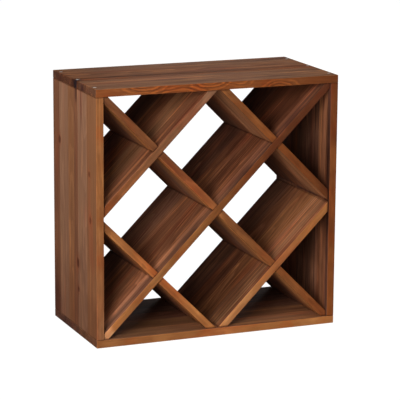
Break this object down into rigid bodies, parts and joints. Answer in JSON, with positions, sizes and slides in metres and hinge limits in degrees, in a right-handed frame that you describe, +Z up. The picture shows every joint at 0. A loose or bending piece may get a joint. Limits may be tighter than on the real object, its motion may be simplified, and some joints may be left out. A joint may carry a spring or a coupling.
{
  "type": "wine rack",
  "caption": "Square open-backed wooden wine rack: glued panels screwed at the corners around a diagonal lattice of halved boards that makes diamond and triangular bottle cells.",
  "frame": {"origin": "middle of the underside", "axes": "+X to the right seen from the front, +Y from front to back, +Z up"},
  "size_m": [0.5, 0.25, 0.5],
  "materials": {
    "frame_pine": "brown-stained edge-glued pine, satin",
    "lattice_pine": "brown-stained pine, satin",
    "screw_steel": "bright zinc-plated"
  },
  "bodies": {
    "root": {"bottom_left_back_screw": "screw_steel", "bottom_left_front_screw": "screw_steel", "bottom_left_middle_screw": "screw_steel", "bottom_panel": "frame_pine", "bottom_right_back_screw": "screw_steel", "bottom_right_front_screw": "screw_steel", "bottom_right_middle_screw": "screw_steel", "left_side_panel": "frame_pine", "long_falling_board": "lattice_pine", "long_rising_board": "lattice_pine", "lower_short_falling_board": "lattice_pine", "lower_short_rising_board": "lattice_pine", "right_side_panel": "frame_pine", "top_left_back_screw": "screw_steel", "top_left_front_screw": "screw_steel", "top_left_middle_screw": "screw_steel", "top_panel": "frame_pine", "top_right_back_screw": "screw_steel", "top_right_front_screw": "screw_steel", "top_right_middle_screw": "screw_steel", "upper_short_falling_board": "lattice_pine", "upper_short_rising_board": "lattice_pine"}
  },
  "joints": []
}
